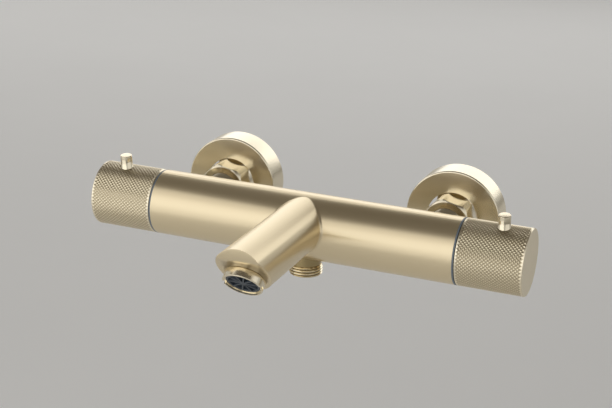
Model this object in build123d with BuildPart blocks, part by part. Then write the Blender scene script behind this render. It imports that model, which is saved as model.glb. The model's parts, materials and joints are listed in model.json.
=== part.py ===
"""Wall-mounted bath mixer with two knurled handles, a cut-off round spout and a shower outlet.

X runs along the bar, +Y points into the wall and +Z points up. The origin lies on the wall's
face, midway between the two supply pipes. Everything that comes once at each end is drawn at the
right-hand end, and mirrored where it belongs to the left.
"""
from build123d import *
from math import asin, cos, degrees, pi, radians, sin, sqrt
import os

os.makedirs("parts", exist_ok=True)

# Where the bar hangs
inlet_centres = 150.0
wall_to_axis = 71.5
union_offset = 7.5

# Bar
bar_diameter = 40.0
bar_length = 192.0
glide_ring_width = 1.0
glide_ring_spigot = 3.0
glide_ring_wall = 1.5
glide_ring_cover = 2.5
fit_clearance = 0.05
running_gap = 0.3
cut_overrun = 1.0

# Spout and its slanted end
spout_diameter = 31.4
spout_drop = 0.6
spout_reach = 103.4
spout_land = 6.2
spout_cut_angle = 42.5
spout_wall = 4.2
spout_edge = 0.4
spout_cavity_start = 12.0
spout_cavity_length = 68.0
junction_fillet = 2.0

# Aerator, screwed square into the slanted face
aerator_diameter = 23.5
aerator_length = 6.1
aerator_gap = 0.6
aerator_setback = 18.0
aerator_thread_diameter = 22.0
aerator_thread_depth = 7.0
aerator_throat_diameter = 16.0
aerator_throat_depth = 16.0
aerator_recess = 1.2
aerator_mouth_wall = 1.05
aerator_notch_width = 4.0
aerator_notch_depth = 1.5
aerator_washer_thickness = 1.5
aerator_washer_bore = 16.0
insert_diameter = 19.4
insert_rim = 1.2
insert_depth = 1.6
insert_rib = 0.8
insert_rib_count = 5

# Shower outlet under the bar
outlet_thread_diameter = 20.955
outlet_neck_diameter = 18.6
outlet_bore_diameter = 14.0
outlet_tail_diameter = 17.0
outlet_flat_depth = 0.8
outlet_neck_length = 4.6
outlet_thread_length = 6.6
outlet_chamfer = 0.6

# Knurled handles
handle_length = 39.7
handle_wall = 3.0
handle_end_wall = 4.0
knurl_count = 28
knurl_rows = 18
knurl_depth = 0.6
knurl_rim = 0.8

# Stop button on each handle, at an angle counted from the wall upwards
button_station = 23.6
button_diameter = 7.3
button_height = 7.8
button_angle = 98.0
button_travel = 2.5
button_collar_diameter = 10.4
button_collar_thickness = 1.5
button_stem_diameter = 3.6
button_edge = 0.5
tongue_width = 5.0
tongue_reach = 12.5
button_spring_diameter = 7.0
button_spring_wire = 0.8
button_spring_turns = 4
pocket_clearance = 0.3
pocket_web = 2.0

# How far each handle turns from rest, seen from the right-hand end
flow_turn = (-90.0, 90.0)
temperature_turn = (-75.0, 180.0)
stop_play = 1.5
stop_radial_gap = 0.7

# Chambers and waterways inside the bar
valve_bore_diameter = 25.0
valve_seat_depth = 11.0
gland_thread_diameter = 31.0
flow_bore_depth = 56.0
temperature_bore_depth = 62.0
mixed_duct_diameter = 16.0
channel_radius = 16.0
channel_height = 2.8
hot_channel_sweep = 84.0
outlet_channel_sweep = 56.0
hot_port_setback = 14.0
outlet_port_setback = 23.0
port_diameter = 8.0

# Valve cartridges
valve_wall = 2.4
valve_flange_thickness = 3.0
valve_neck_diameter = 17.0
spindle_diameter = 10.0
spline_teeth = 12
spline_depth = 0.7
spline_length = 16.0
spline_lead = 1.0
spindle_seal_setback = 4.0
spindle_seal_depth = 1.0
seal_section = 1.6
gland_thread_length = 5.0
gland_head_length = 6.0
gland_head_corner = 31.0
stop_ring_length = 12.5
stop_ring_wall = 3.0
stop_lug_length = 3.5
adapter_depth = 20.0
set_screw_diameter = 4.0
set_screw_length = 6.0
set_screw_station = 30.0
set_screw_socket = 2.0

# Rotary flow valve
disc_thickness = 4.0
disc_port_sweep = 80.0
disc_port_inner = 3.0
disc_port_outer = 8.0
disc_lug_width = 3.0
disc_lug_height = 0.9
disc_tab_relief = 1.0
disc_tab_angle = 45.0
port_seal_thickness = 2.5
sleeve_length = 19.5
sleeve_wall = 1.8
sleeve_floor = 2.5
window_length = 6.5
window_width = 9.0
flow_seal_spread = 12.0

# Temperature valve
shuttle_seat_distance = 21.5
shuttle_length = 10.0
shuttle_wall = 2.4
shuttle_web = 3.0
shuttle_hole_diameter = 2.0
element_diameter = 9.0
element_length = 18.0
element_flange_diameter = 13.0
element_flange_thickness = 2.5
element_rod_diameter = 3.0
element_rod_length = 5.0
valve_foot_length = 6.0
valve_foot_bore = 10.8
return_spring_wire = 1.0
return_spring_turns = 6
regulator_diameter = 17.0
regulator_length = 10.0
regulator_web = 3.0
regulator_key_width = 3.0
regulator_tail_gap = 1.0
regulator_thread_diameter = 9.6
regulator_pitch = 1.25
spindle_collar_length = 2.3
spindle_thrust_setback = 0.7
key_bore_lead = 0.5
groove_depth = 1.2
hot_groove_lead = 1.0
cold_groove_setback = 5.0

# Inlets: boss, nipple, check valve, union nut
boss_diameter = 25.0
boss_depth = 25.0
nipple_thread_diameter = 18.8
nipple_thread_length = 8.0
nipple_neck_diameter = 20.4
nipple_collar_gap = 1.02
nipple_collar_thickness = 3.0
nipple_bore_diameter = 15.2
nipple_throat_diameter = 12.0
inlet_passage_diameter = 14.0
nut_front = 40.0
nut_length = 17.0
nut_lip = 3.5
nut_across_flats = 29.0
nut_corner_excess = 2.6
nut_chamfer = 0.8
nut_turn = 13.0
check_valve_length = 15.0
check_wall = 1.2
check_seat_bore = 9.0
check_seat_thickness = 2.0
poppet_diameter = 10.6
poppet_thickness = 2.0
poppet_stem_diameter = 2.4
check_spring_diameter = 6.0
check_spring_wire = 0.6
check_spring_turns = 5
spider_thickness = 2.0
spider_hub_diameter = 4.8
spider_arm = 1.4
filter_thickness = 2.0
filter_ring_bore = 16.0
filter_mesh_thickness = 0.6
filter_hole_diameter = 3.2

# Offset unions and their covers
union_nut_wall = 1.28
union_thread_length = 11.4
union_bore_diameter = 17.0
union_block_length = 6.0
union_block_diameter = 24.0
wall_thread_diameter = 20.955
wall_thread_length = 17.0
wall_bore_diameter = 13.5
escutcheon_diameter = 59.6
escutcheon_depth = 17.4
escutcheon_wall = 1.5
escutcheon_hole_gap = 0.4
escutcheon_edge = 1.0

# Values that follow from the sizes above
bar_radius = bar_diameter / 2
bar_y = -wall_to_axis
bar_z = -union_offset
bar_end = bar_length / 2
ring_end = bar_end + glide_ring_width
flow_floor = bar_end - flow_bore_depth
temperature_floor = bar_end - temperature_bore_depth
hot_port_station = temperature_floor + hot_port_setback
outlet_port_station = flow_floor + outlet_port_setback
handle_start = ring_end + running_gap
handle_end = handle_start + handle_length
handle_inner = bar_radius - handle_wall
handle_floor = handle_end - handle_end_wall
spout_radius = spout_diameter / 2
spout_z = bar_z + bar_radius - spout_drop - spout_radius
ridge_y = bar_y - spout_reach
ridge_z = spout_z + spout_radius - spout_land
valve_seat = bar_end - valve_seat_depth
flange_end = valve_seat + valve_flange_thickness
gland_end = flange_end + gland_thread_length + gland_head_length
neck_end = gland_end + stop_ring_length
adapter_start = handle_floor - adapter_depth
spline_start = adapter_start - spline_lead
button_x = handle_start + button_station
valve_radius = valve_bore_diameter / 2 - 2 * fit_clearance
valve_inner = valve_radius - valve_wall
neck_radius = valve_neck_diameter / 2
spindle_radius = spindle_diameter / 2
inlet_x = inlet_centres / 2
union_thread_diameter = nut_across_flats - 2 * union_nut_wall
nipple_collar_diameter = union_thread_diameter - 2 * nipple_collar_gap
nut_corner_diameter = nut_across_flats + nut_corner_excess
escutcheon_hole_diameter = nut_corner_diameter + 2 * escutcheon_hole_gap


def across(distance):
    """Plane square to the bar, with local x towards the wall and local y up."""
    return Plane(origin=(distance, bar_y, bar_z), x_dir=(0, 1, 0), z_dir=(1, 0, 0))


def radial(station, angle, reach):
    """Plane that faces away from the bar's axis, at an angle counted from the wall upwards."""
    outward = Vector(0, cos(radians(angle)), sin(radians(angle)))
    origin = Vector(station, bar_y, bar_z) + outward * reach
    return Plane(origin=origin, x_dir=(1, 0, 0), z_dir=outward)


def inlet(depth):
    """Plane square to the right-hand inlet, this far from the bar's axis towards the wall."""
    return radial(inlet_x, 0, depth)


def save(piece, name):
    """Label a finished piece and write it."""
    piece.label = name
    export_step(piece, f"parts/{name}.step")


def save_left(piece, name):
    """Write the mirror image of a piece that was drawn at the right-hand end."""
    save(piece.mirror(Plane.YZ), name)


def sector(inner, outer, start_angle, end_angle):
    """Part of a ring between two angles, counted from the wall upwards."""
    reach = 3 * outer
    corners = [(0, 0)]
    for angle in (start_angle, (start_angle + end_angle) / 2, end_angle):
        corners.append((reach * cos(radians(angle)), reach * sin(radians(angle))))
    with BuildSketch() as wedge:
        Circle(outer)
        Circle(inner, mode=Mode.SUBTRACT)
        with BuildLine():
            Polyline(corners, close=True)
        make_face(mode=Mode.INTERSECT)
    return wedge.sketch


def spline_outline(radius):
    """Toothed outline of a splined shaft or socket."""
    points = []
    for corner in range(2 * spline_teeth):
        reach = radius - spline_depth * (corner % 2)
        turn = pi * corner / spline_teeth
        points.append((reach * cos(turn), reach * sin(turn)))
    with BuildSketch() as outline:
        with BuildLine():
            Polyline(points, close=True)
        make_face()
    return outline.sketch


def coil(stand, mean_radius, wire, turns, length):
    """Coil spring that stands on a plane and takes up this length."""
    rise = length - wire
    with BuildPart() as spring:
        with BuildLine():
            foot = stand.offset(wire / 2).origin
            centre_line = Helix(rise / turns, rise, mean_radius, center=foot, direction=stand.z_dir)
        with BuildSketch(Plane(origin=centre_line @ 0, z_dir=centre_line % 0)):
            Circle(wire / 2)
        sweep(path=centre_line, is_frenet=True)
    return spring.part


def seal_ring(start, outer, inner):
    """Square-section rubber ring round the bar's axis."""
    with BuildPart() as ring:
        with BuildSketch(across(start)):
            Circle(outer)
            Circle(inner, mode=Mode.SUBTRACT)
        extrude(amount=seal_section)
    return ring.part


# Body: one casting, with the bar, the inlet bosses, the spout and the waterways inside
spout_start = Plane(origin=(0, bar_y, spout_z), x_dir=(1, 0, 0), z_dir=(0, -1, 0))
slant_normal = Vector(0, -cos(radians(spout_cut_angle)), -sin(radians(spout_cut_angle)))
slant_down = Vector(0, sin(radians(spout_cut_angle)), -cos(radians(spout_cut_angle)))
ridge = Vector(0, ridge_y, ridge_z)
slant_face = Plane(origin=ridge + slant_down * aerator_setback, x_dir=(1, 0, 0), z_dir=slant_normal)
port_radius = port_diameter / 2
duct_radius = mixed_duct_diameter / 2
outlet_seat = bar_radius - outlet_flat_depth
hot_arc = CenterArc((0, 0), channel_radius, -hot_channel_sweep / 2, hot_channel_sweep)
spout_arc = CenterArc((0, 0), channel_radius, 180 - outlet_channel_sweep / 2, outlet_channel_sweep)
shower_arc = CenterArc((0, 0), channel_radius, 270 - outlet_channel_sweep / 2, outlet_channel_sweep)

with BuildPart() as mixer_body:
    with BuildSketch(across(-bar_end)):
        Circle(bar_radius)
    extrude(amount=bar_length)
    with BuildSketch(spout_start):
        Circle(spout_radius)
    extrude(amount=spout_reach)
    junction = mixer_body.edges().filter_by(GeomType.CIRCLE, reverse=True)
    junction = junction.filter_by(GeomType.LINE, reverse=True)
    fillet(junction, junction_fillet)

    # Slanted end of the spout, under its upright land
    with BuildSketch(Plane.YZ):
        with BuildLine():
            far = 2 * spout_diameter
            Polyline(
                (ridge_y, ridge_z),
                (ridge_y + slant_down.Y * far, ridge_z + slant_down.Z * far),
                (ridge_y - far, ridge_z + slant_down.Z * far),
                (ridge_y - far, ridge_z),
                close=True,
            )
        make_face()
    extrude(amount=spout_radius + cut_overrun, both=True, mode=Mode.SUBTRACT)
    land_edges = mixer_body.edges().filter_by_position(Axis.Y, ridge_y - 1, ridge_y + 0.01)
    slant_edges = mixer_body.faces().filter_by(lambda face: face.normal_at().dot(slant_normal) > 0.999)
    fillet(land_edges + slant_edges.edges() - land_edges, spout_edge)

    # Inlet bosses on the wall's side, flush with the bar's ends where they would pass them
    with BuildSketch(inlet(0)):
        with Locations((0, 0), (-inlet_centres, 0)):
            Circle(boss_diameter / 2)
        with Locations((-inlet_x, 0)):
            Rectangle(bar_length, boss_diameter, mode=Mode.INTERSECT)
    extrude(amount=boss_depth)

    # Valve chambers, each with a gland thread and a recess for the glide ring at its mouth
    for mouth, floor in ((across(bar_end), temperature_floor), (-across(-bar_end), flow_floor)):
        with BuildSketch(mouth):
            Circle(valve_bore_diameter / 2)
        extrude(amount=floor - bar_end, mode=Mode.SUBTRACT)
        with BuildSketch(mouth):
            Circle(gland_thread_diameter / 2)
        extrude(amount=-valve_seat_depth, mode=Mode.SUBTRACT)
        with BuildSketch(mouth):
            Circle(bar_radius - glide_ring_cover)
        extrude(amount=-glide_ring_spigot, mode=Mode.SUBTRACT)

    # Mixed water duct between the chambers
    with BuildSketch(across(-flow_floor - cut_overrun)):
        Circle(duct_radius)
    extrude(amount=flow_floor + temperature_floor + 2 * cut_overrun, mode=Mode.SUBTRACT)

    # Hot water channel from the left inlet to the temperature valve
    with BuildSketch(across(-inlet_x - inlet_passage_diameter / 2)):
        SlotArc(hot_arc, channel_height)
    hot_run = inlet_x + inlet_passage_diameter / 2 + hot_port_station + port_radius
    extrude(amount=hot_run, mode=Mode.SUBTRACT)
    with BuildSketch(radial(hot_port_station, 0, duct_radius)):
        Circle(port_radius)
    extrude(amount=channel_radius - duct_radius, mode=Mode.SUBTRACT)

    # Channels and ports from the flow valve to the spout and to the shower outlet
    with BuildSketch(across(-outlet_port_station - port_radius)):
        SlotArc(spout_arc, channel_height)
        SlotArc(shower_arc, channel_height)
    extrude(amount=outlet_port_station + port_radius, mode=Mode.SUBTRACT)
    for angle in (180, 270):
        with BuildSketch(radial(-outlet_port_station, angle, duct_radius)):
            Circle(port_radius)
        extrude(amount=channel_radius - duct_radius, mode=Mode.SUBTRACT)

    # Inlet passages: the hot one ends in its channel, the cold one in the valve chamber
    with BuildSketch(inlet(boss_depth)):
        with Locations((0, 0), (-inlet_centres, 0)):
            Circle(nipple_thread_diameter / 2)
    extrude(amount=-nipple_thread_length, mode=Mode.SUBTRACT)
    for station, depth in ((-inlet_x, channel_radius), (inlet_x, duct_radius)):
        with BuildSketch(radial(station, 0, depth)):
            Circle(inlet_passage_diameter / 2)
        extrude(amount=boss_depth - depth, mode=Mode.SUBTRACT)

    # Inside of the spout, with the aerator's thread square to the slanted face
    with BuildSketch(spout_start.offset(spout_cavity_start)):
        Circle(spout_radius - spout_wall)
    extrude(amount=spout_cavity_length, mode=Mode.SUBTRACT)
    with BuildSketch(slant_face):
        Circle(aerator_thread_diameter / 2)
    extrude(amount=-aerator_thread_depth - aerator_washer_thickness, mode=Mode.SUBTRACT)
    with BuildSketch(slant_face):
        Circle(aerator_throat_diameter / 2)
    extrude(amount=-aerator_throat_depth, mode=Mode.SUBTRACT)

    # Flat and tapped hole for the shower outlet
    with BuildSketch(radial(0, 270, outlet_seat)):
        Circle(outlet_thread_diameter / 2)
    extrude(amount=outlet_flat_depth + cut_overrun, mode=Mode.SUBTRACT)
    with BuildSketch(radial(0, 270, channel_radius)):
        Circle(outlet_tail_diameter / 2)
    extrude(amount=outlet_seat - channel_radius, mode=Mode.SUBTRACT)

save(mixer_body.part, "mixer_body")


# Glide ring between the bar and each handle
spigot_radius = bar_radius - glide_ring_cover - fit_clearance
glide_bore = spigot_radius - glide_ring_wall

with BuildPart() as glide_ring:
    with BuildSketch(across(bar_end)):
        Circle(bar_radius)
    extrude(amount=glide_ring_width)
    with BuildSketch(across(bar_end)):
        Circle(spigot_radius)
    extrude(amount=-glide_ring_spigot)
    with BuildSketch(across(ring_end)):
        Circle(glide_bore)
    extrude(amount=-glide_ring_width - glide_ring_spigot, mode=Mode.SUBTRACT)

save(glide_ring.part, "temperature_ring")
save_left(glide_ring.part, "flow_ring")


# Gland nut that holds each valve in its chamber
with BuildPart() as gland_nut:
    with BuildSketch(across(flange_end)):
        Circle(gland_thread_diameter / 2 - fit_clearance)
    extrude(amount=gland_thread_length)
    with BuildSketch(across(flange_end + gland_thread_length)):
        RegularPolygon(gland_head_corner / 2, 6)
    extrude(amount=gland_head_length)
    with BuildSketch(across(flange_end)):
        Circle(neck_radius + 2 * fit_clearance)
    extrude(amount=gland_end - flange_end, mode=Mode.SUBTRACT)

save(gland_nut.part, "temperature_retaining_nut")
save_left(gland_nut.part, "flow_retaining_nut")


# Stop button, with the tongue that meets the end stops, and its spring
collar_radius = button_collar_diameter / 2
collar_top = sqrt(handle_inner**2 - collar_radius**2) - pocket_clearance
collar_bottom = collar_top - button_collar_thickness
pocket_floor = spindle_radius + pocket_web
pocket_radius = collar_radius + pocket_clearance
tongue_low = collar_bottom - button_travel - pocket_clearance

with BuildPart() as stop_button:
    with BuildSketch(radial(button_x, button_angle, collar_bottom)):
        Circle(button_diameter / 2)
    extrude(amount=bar_radius + button_height - collar_bottom)
    fillet(stop_button.faces().sort_by(Axis.Z)[-1].edges(), button_edge)
    with BuildSketch(radial(button_x, button_angle, collar_bottom)):
        Circle(collar_radius)
        with Locations((-tongue_reach / 2, 0)):
            Rectangle(tongue_reach, tongue_width)
    extrude(amount=button_collar_thickness)
    with BuildSketch(radial(button_x, button_angle, pocket_floor + button_travel + fit_clearance)):
        Circle(button_stem_diameter / 2)
    extrude(amount=collar_bottom - pocket_floor - button_travel)

button_spring = coil(
    radial(button_x, button_angle, pocket_floor + fit_clearance),
    (button_spring_diameter - button_spring_wire) / 2,
    button_spring_wire,
    button_spring_turns,
    collar_bottom - pocket_floor - 2 * fit_clearance,
)

save(stop_button.part, "temperature_stop_button")
save_left(stop_button.part, "flow_stop_button")
save(button_spring, "temperature_button_spring")
save_left(button_spring, "flow_button_spring")


def knurled_blank():
    """Solid handle with a diamond knurl: peaks and groove crossings alternate along and round it."""
    corners = 2 * knurl_count
    root = bar_radius - knurl_depth
    knurl_length = handle_length - 2 * knurl_rim

    def section(station, row):
        points = []
        for corner in range(corners):
            reach = bar_radius if (row + corner) % 2 and 0 <= row <= knurl_rows else root
            turn = 2 * pi * corner / corners
            points.append(Vector(station, bar_y + reach * cos(turn), bar_z + reach * sin(turn)))
        return points

    sections = [section(handle_start, -1)]
    for row in range(knurl_rows + 1):
        station = handle_start + knurl_rim + knurl_length * row / knurl_rows
        sections.append(section(station, row))
    sections.append(section(handle_end, knurl_rows + 1))
    facets = [sections[0], sections[-1]]
    for row in range(len(sections) - 1):
        near = sections[row]
        far = sections[row + 1]
        for corner in range(corners):
            following = (corner + 1) % corners
            if (row + corner) % 2 == 0:
                facets.append([near[corner], near[following], far[corner]])
                facets.append([near[following], far[following], far[corner]])
            else:
                facets.append([near[corner], near[following], far[following]])
                facets.append([near[corner], far[following], far[corner]])
    return Solid(Shell([Face(Wire.make_polygon(facet)) for facet in facets]))


# Knurled handle, bored from its open end, with holes for the stop button and the set screw
screw_x = handle_start + set_screw_station
screw_angle = button_angle + 180

with BuildPart() as handle:
    add(knurled_blank())
    with BuildSketch(across(handle_start)):
        Circle(handle_inner)
    extrude(amount=handle_length - handle_end_wall, mode=Mode.SUBTRACT)
    with BuildSketch(radial(button_x, button_angle, pocket_floor)):
        Circle(button_diameter / 2 + fit_clearance)
    extrude(amount=bar_radius, mode=Mode.SUBTRACT)
    with BuildSketch(radial(screw_x, screw_angle, pocket_floor)):
        Circle(set_screw_diameter / 2 + fit_clearance)
    extrude(amount=bar_radius, mode=Mode.SUBTRACT)

save(handle.part, "temperature_handle")
save_left(handle.part, "flow_handle")


# Splined adapter that seats in each handle, with the button's pocket
with BuildPart() as adapter:
    with BuildSketch(across(adapter_start)):
        Circle(handle_inner - fit_clearance)
        add(spline_outline(spindle_radius + fit_clearance), mode=Mode.SUBTRACT)
    extrude(amount=adapter_depth)
    with BuildSketch(radial(button_x, button_angle, pocket_floor)):
        Circle(pocket_radius)
    extrude(amount=handle_inner, mode=Mode.SUBTRACT)
    slot_start = adapter_start - cut_overrun
    slot_length = button_x - slot_start
    with BuildSketch(radial(slot_start + slot_length / 2, button_angle, tongue_low)):
        Rectangle(slot_length, tongue_width + 2 * pocket_clearance)
    extrude(amount=handle_inner, mode=Mode.SUBTRACT)
    with BuildSketch(radial(screw_x, screw_angle, handle_inner)):
        Circle(set_screw_diameter / 2 + fit_clearance)
    extrude(amount=-set_screw_length, mode=Mode.SUBTRACT)

save(adapter.part, "temperature_handle_adapter")
save_left(adapter.part, "flow_handle_adapter")


# Set screw that pins each handle to its adapter
screw_top = handle_inner + handle_wall / 2

with BuildPart() as set_screw:
    with BuildSketch(radial(screw_x, screw_angle, screw_top)):
        Circle(set_screw_diameter / 2)
    extrude(amount=-set_screw_length)
    with BuildSketch(radial(screw_x, screw_angle, screw_top)):
        RegularPolygon(set_screw_socket / sqrt(3), 6)
    extrude(amount=-set_screw_socket, mode=Mode.SUBTRACT)

save(set_screw.part, "temperature_set_screw")
save_left(set_screw.part, "flow_set_screw")


def stop_ring(turn):
    """Ring on the valve's neck, with a lug where the button's tongue ends its turn."""
    half_tongue = degrees(asin(tongue_width / 2 / (collar_bottom - button_travel)))
    with BuildPart() as ring:
        with BuildSketch(across(gland_end)):
            Circle(neck_radius + stop_ring_wall)
            Circle(neck_radius + fit_clearance, mode=Mode.SUBTRACT)
        extrude(amount=stop_ring_length)
        lug_start = button_angle + turn[1] + half_tongue + stop_play
        lug_end = button_angle + 360 + turn[0] - half_tongue - stop_play
        with BuildSketch(across(neck_end - stop_lug_length)):
            add(sector(neck_radius + stop_ring_wall / 2, handle_inner - stop_radial_gap, lug_start, lug_end))
        extrude(amount=stop_lug_length)
    return ring.part


save(stop_ring(temperature_turn), "temperature_stop_ring")
save_left(stop_ring(flow_turn), "flow_stop_ring")


# Valve for the temperature: housing, foot, shuttle, wax element, regulating nut and spindle
hot_groove_start = hot_port_station - port_radius - hot_groove_lead
shuttle_start = temperature_floor + shuttle_seat_distance
shuttle_end = shuttle_start + shuttle_length
web_start = shuttle_start + (shuttle_length - shuttle_web) / 2
web_end = web_start + shuttle_web
regulator_start = web_end + element_flange_thickness + element_rod_length
regulator_end = regulator_start + regulator_length
key_bore_start = regulator_start - key_bore_lead
keyway_end = regulator_end + regulator_pitch * temperature_turn[1] / 360 + running_gap
cold_groove_end = valve_seat - cold_groove_setback
groove_radius = valve_radius - groove_depth
thrust_face = valve_seat - spindle_thrust_setback
collar_start = thrust_face - fit_clearance - spindle_collar_length
regulator_radius = regulator_diameter / 2
seal_outer = valve_bore_diameter / 2 - fit_clearance
valve_seals = (
    (temperature_floor + hot_groove_start) / 2,
    (shuttle_start + shuttle_end) / 2,
    valve_seat - seal_section,
)

with BuildPart() as temperature_valve_housing:
    with BuildSketch(across(temperature_floor)):
        Circle(valve_radius)
    extrude(amount=valve_seat - temperature_floor)
    with BuildSketch(across(valve_seat)):
        Circle(gland_thread_diameter / 2 - fit_clearance)
    extrude(amount=valve_flange_thickness)
    with BuildSketch(across(flange_end)):
        Circle(neck_radius)
    extrude(amount=neck_end - flange_end)

    # Water grooves and seal grooves round the outside
    grooves = [(hot_groove_start, shuttle_start - running_gap), (shuttle_end + running_gap, cold_groove_end)]
    for centre in valve_seals:
        grooves.append((centre - seal_section / 2 - fit_clearance, centre + seal_section / 2 + fit_clearance))
    for start, end in grooves:
        with BuildSketch(across(start)):
            Circle(valve_radius + cut_overrun)
            Circle(groove_radius, mode=Mode.SUBTRACT)
        extrude(amount=end - start, mode=Mode.SUBTRACT)

    # Bore, keyed bore and spindle bore
    for start, end, radius in (
        (temperature_floor, key_bore_start, valve_inner),
        (temperature_floor, thrust_face, regulator_radius + 2 * fit_clearance),
        (temperature_floor, neck_end, spindle_radius + fit_clearance),
    ):
        with BuildSketch(across(start)):
            Circle(radius)
        extrude(amount=end - start, mode=Mode.SUBTRACT)
    with BuildSketch(across(key_bore_start)):
        Rectangle(2 * valve_inner, regulator_key_width + 4 * fit_clearance)
    extrude(amount=keyway_end - key_bore_start, mode=Mode.SUBTRACT)

    # Windows: hot before the shuttle, cold behind it
    window = key_bore_start - shuttle_end - 2 * running_gap
    for start in (shuttle_start - running_gap - window, shuttle_end + running_gap):
        with BuildSketch(across(start)):
            Rectangle(2 * valve_radius + cut_overrun, window_width)
            Rectangle(window_width, 2 * valve_radius + cut_overrun)
        extrude(amount=window, mode=Mode.SUBTRACT)

save(temperature_valve_housing.part, "temperature_valve_housing")


def seal_set(centres):
    """The square rubber rings round a valve, one in each groove."""
    with BuildPart() as rings:
        for centre in centres:
            with BuildSketch(across(centre - seal_section / 2)):
                Circle(seal_outer)
                Circle(groove_radius, mode=Mode.SUBTRACT)
            extrude(amount=seal_section)
    return rings.part


save(seal_set(valve_seals), "temperature_valve_seals")

with BuildPart() as temperature_valve_foot:
    with BuildSketch(across(temperature_floor)):
        Circle(valve_inner)
        Circle(valve_foot_bore / 2, mode=Mode.SUBTRACT)
    extrude(amount=valve_foot_length)

save(temperature_valve_foot.part, "temperature_valve_foot")

with BuildPart() as temperature_shuttle:
    with BuildSketch(across(shuttle_start)):
        Circle(valve_inner - 2 * fit_clearance)
        Circle(valve_inner - 2 * fit_clearance - shuttle_wall, mode=Mode.SUBTRACT)
    extrude(amount=shuttle_length)
    hub_radius = element_diameter / 2 + fit_clearance
    with BuildSketch(across(web_start)):
        Circle(valve_inner - shuttle_wall)
        Circle(hub_radius, mode=Mode.SUBTRACT)
        with PolarLocations((hub_radius + valve_inner - shuttle_wall) / 2, 8):
            Circle(shuttle_hole_diameter / 2, mode=Mode.SUBTRACT)
    extrude(amount=shuttle_web)

save(temperature_shuttle.part, "temperature_shuttle")

with BuildPart() as wax_element:
    with BuildSketch(across(web_end)):
        Circle(element_diameter / 2)
    extrude(amount=-element_length)
    with BuildSketch(across(web_end)):
        Circle(element_flange_diameter / 2)
    extrude(amount=element_flange_thickness)
    with BuildSketch(across(web_end)):
        Circle(element_rod_diameter / 2)
    extrude(amount=element_flange_thickness + element_rod_length)

save(wax_element.part, "wax_element")

return_spring = coil(
    across(temperature_floor + valve_foot_length + fit_clearance),
    (valve_inner - shuttle_wall + element_diameter / 2) / 2,
    return_spring_wire,
    return_spring_turns,
    web_start - temperature_floor - valve_foot_length - 2 * fit_clearance,
)
save(return_spring, "shuttle_return_spring")

with BuildPart() as regulating_nut:
    with BuildSketch(across(regulator_start)):
        Circle(regulator_radius)
        Rectangle(2 * valve_inner - 4 * fit_clearance, regulator_key_width)
    extrude(amount=regulator_length)
    with BuildSketch(across(regulator_start + regulator_web)):
        Circle(regulator_thread_diameter / 2 + fit_clearance)
    extrude(amount=regulator_length, mode=Mode.SUBTRACT)

save(regulating_nut.part, "regulating_nut")

spindle_seal_start = gland_end - spindle_seal_setback
seal_groove_radius = spindle_radius - spindle_seal_depth

with BuildPart() as temperature_spindle:
    with BuildSketch(across(regulator_start + regulator_web + regulator_tail_gap)):
        Circle(regulator_thread_diameter / 2)
    extrude(amount=collar_start - regulator_start - regulator_web - regulator_tail_gap)
    with BuildSketch(across(collar_start)):
        Circle(regulator_radius - 2 * fit_clearance)
    extrude(amount=spindle_collar_length)
    with BuildSketch(across(collar_start)):
        Circle(spindle_radius)
    extrude(amount=spline_start - collar_start)
    with BuildSketch(across(spline_start)):
        add(spline_outline(spindle_radius))
    extrude(amount=spline_length)
    with BuildSketch(across(spindle_seal_start)):
        Circle(spindle_radius + cut_overrun)
        Circle(seal_groove_radius, mode=Mode.SUBTRACT)
    extrude(amount=seal_section, mode=Mode.SUBTRACT)

save(temperature_spindle.part, "temperature_spindle")

spindle_seal = seal_ring(spindle_seal_start, spindle_radius, seal_groove_radius)
save(spindle_seal, "temperature_spindle_seal")
save_left(spindle_seal, "flow_spindle_seal")


# Valve for the flow: housing, seal, ceramic discs and a spindle with a diverter sleeve
fixed_disc_start = flow_floor + port_seal_thickness
moving_disc_start = fixed_disc_start + disc_thickness
sleeve_start = moving_disc_start + disc_thickness
sleeve_end = sleeve_start + sleeve_length
disc_radius = valve_inner - 2 * fit_clearance
lug_radius = disc_radius + disc_lug_height
tab_length = disc_thickness - disc_tab_relief
tab_depth = sleeve_wall
flow_seals = (outlet_port_station - flow_seal_spread, outlet_port_station + flow_seal_spread)

with BuildPart() as flow_valve_housing:
    with BuildSketch(across(flow_floor)):
        Circle(valve_radius)
    extrude(amount=valve_seat - flow_floor)
    with BuildSketch(across(valve_seat)):
        Circle(gland_thread_diameter / 2 - fit_clearance)
    extrude(amount=valve_flange_thickness)
    with BuildSketch(across(flange_end)):
        Circle(neck_radius)
    extrude(amount=neck_end - flange_end)
    with BuildSketch(across(flow_floor)):
        Circle(valve_inner)
    extrude(amount=sleeve_end + fit_clearance - flow_floor, mode=Mode.SUBTRACT)
    with BuildSketch(across(flow_floor)):
        Circle(spindle_radius + fit_clearance)
    extrude(amount=neck_end - flow_floor, mode=Mode.SUBTRACT)
    with BuildSketch(across(flow_floor)):
        Rectangle(2 * lug_radius + 4 * fit_clearance, disc_lug_width + 2 * fit_clearance)
    extrude(amount=port_seal_thickness + disc_thickness, mode=Mode.SUBTRACT)
    for angle in (180, 270):
        with BuildSketch(radial(outlet_port_station, angle, spindle_radius)):
            Rectangle(window_length, window_width)
        extrude(amount=valve_radius, mode=Mode.SUBTRACT)
    for centre in flow_seals:
        with BuildSketch(across(centre - seal_section / 2 - fit_clearance)):
            Circle(valve_radius + cut_overrun)
            Circle(groove_radius, mode=Mode.SUBTRACT)
        extrude(amount=seal_section + 2 * fit_clearance, mode=Mode.SUBTRACT)

save_left(flow_valve_housing.part, "flow_valve_housing")
save_left(seal_set(flow_seals), "flow_valve_seals")

with BuildPart() as flow_port_seal:
    with BuildSketch(across(flow_floor)):
        Circle(disc_radius)
        Circle(disc_port_outer, mode=Mode.SUBTRACT)
    extrude(amount=port_seal_thickness)

save_left(flow_port_seal.part, "flow_port_seal")


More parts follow.
